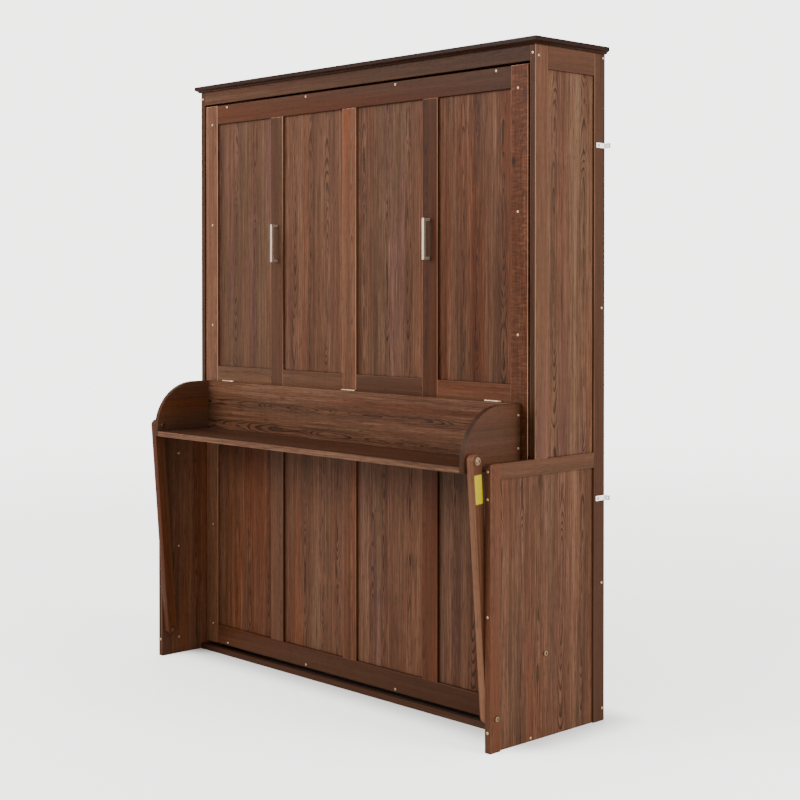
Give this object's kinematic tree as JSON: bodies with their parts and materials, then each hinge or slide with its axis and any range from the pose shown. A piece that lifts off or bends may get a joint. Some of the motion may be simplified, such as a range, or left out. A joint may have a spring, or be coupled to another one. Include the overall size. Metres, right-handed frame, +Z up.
{
  "type": "murphy wall bed",
  "caption": "Free-standing walnut wall bed, closed: framed cabinet with a crown, folding panelled bed on side pivots, and a hinged desk kept level by two link arms.",
  "frame": {"origin": "bottom centre of the closed bed's bounding box, on the floor", "axes": "+Z up, the desk faces -Y, +X to the viewer's right, the wall is behind +Y"},
  "size_m": [1.774, 0.599, 2.181],
  "materials": {
    "walnut_frame": "satin stained hardwood with light worn edges",
    "walnut_panel": "satin stained veneer with upright cathedral figure",
    "walnut_desk": "satin stained board with level cathedral figure",
    "walnut_crown": "darker satin stain",
    "walnut_link": "satin stained hardwood",
    "walnut_box": "satin stained board",
    "pale_slats": "planed bare softwood",
    "bracket_steel": "pale satin coat",
    "handle_nickel": "brushed nickel",
    "hinge_steel": "bright plated steel",
    "bright_fasteners": "zinc plated",
    "sticker": "plain blank sticker"
  },
  "bodies": {
    "cabinet": {"left_rear_stile": "walnut_frame", "left_upper_stile": "walnut_frame", "left_top_rail": "walnut_frame", "left_upper_panel": "walnut_panel", "left_lower_stile": "walnut_frame", "left_mid_rail": "walnut_frame", "left_lower_panel": "walnut_panel", "right_rear_stile": "walnut_frame", "right_upper_stile": "walnut_frame", "right_top_rail": "walnut_frame", "right_upper_panel": "walnut_panel", "right_lower_stile": "walnut_frame", "right_mid_rail": "walnut_frame", "right_lower_panel": "walnut_panel", "crown_board": "walnut_crown", "crown_moulding": "walnut_crown", "top_fascia": "walnut_frame", "rear_top_rail": "walnut_frame", "rear_mid_rail": "walnut_frame", "front_skid_rail": "walnut_frame", "wall_brackets": "bracket_steel", "cabinet_bolts": "bright_fasteners", "cabinet_screws": "bright_fasteners"},
    "bed": {"bed_left_stile": "walnut_frame", "bed_right_stile": "walnut_frame", "bed_inner_stile_1": "walnut_frame", "bed_inner_stile_2": "walnut_frame", "bed_inner_stile_3": "walnut_frame", "bed_top_rail": "walnut_frame", "bed_mid_rails": "walnut_frame", "bed_bottom_rail": "walnut_frame", "bed_upper_panel_1": "walnut_panel", "bed_upper_panel_2": "walnut_panel", "bed_upper_panel_3": "walnut_panel", "bed_upper_panel_4": "walnut_panel", "bed_lower_panel_1": "walnut_panel", "bed_lower_panel_2": "walnut_panel", "bed_lower_panel_3": "walnut_panel", "bed_lower_panel_4": "walnut_panel", "bed_left_side_rail": "walnut_box", "bed_right_side_rail": "walnut_box", "bed_head_board": "walnut_box", "bed_foot_board": "walnut_box", "bed_ledgers": "pale_slats", "bed_slats": "pale_slats", "bed_screws": "bright_fasteners", "hinge_bed_leaves": "hinge_steel", "handle_left": "handle_nickel", "handle_right": "handle_nickel"},
    "desk": {"desk_back_board": "walnut_desk", "desk_shelf": "walnut_desk", "desk_left_end": "walnut_frame", "desk_right_end": "walnut_frame", "hinge_desk_leaves": "hinge_steel", "desk_bolts": "bright_fasteners", "desk_screws": "bright_fasteners"},
    "link_left": {"link_left": "walnut_link"},
    "link_right": {"link_right": "walnut_link", "link_sticker": "sticker"}
  },
  "joints": [
    {"name": "bed_fold", "type": "hinge", "parent": "cabinet", "child": "bed", "pos_m": [0, 0.016, 0.263], "axis": [1, 0, 0], "range_deg": [0, 90]},
    {"name": "desk_level", "type": "hinge", "parent": "bed", "child": "desk", "pos_m": [0, -0.044, 1.046], "axis": [1, 0, 0], "range_deg": [-90, 0]},
    {"name": "left_link_swing", "type": "hinge", "parent": "cabinet", "child": "link_left", "pos_m": [-0.8275, -0.2145, 0.102], "axis": [1, 0, 0], "range_deg": [0, 90]},
    {"name": "right_link_swing", "type": "hinge", "parent": "cabinet", "child": "link_right", "pos_m": [0.8275, -0.2145, 0.102], "axis": [1, 0, 0], "range_deg": [0, 90]}
  ],
  "couplings": [
    {"joint": "desk_level", "follows": "bed_fold", "ratio": -1},
    {"joint": "left_link_swing", "follows": "bed_fold", "ratio": 1},
    {"joint": "right_link_swing", "follows": "bed_fold", "ratio": 1}
  ]
}
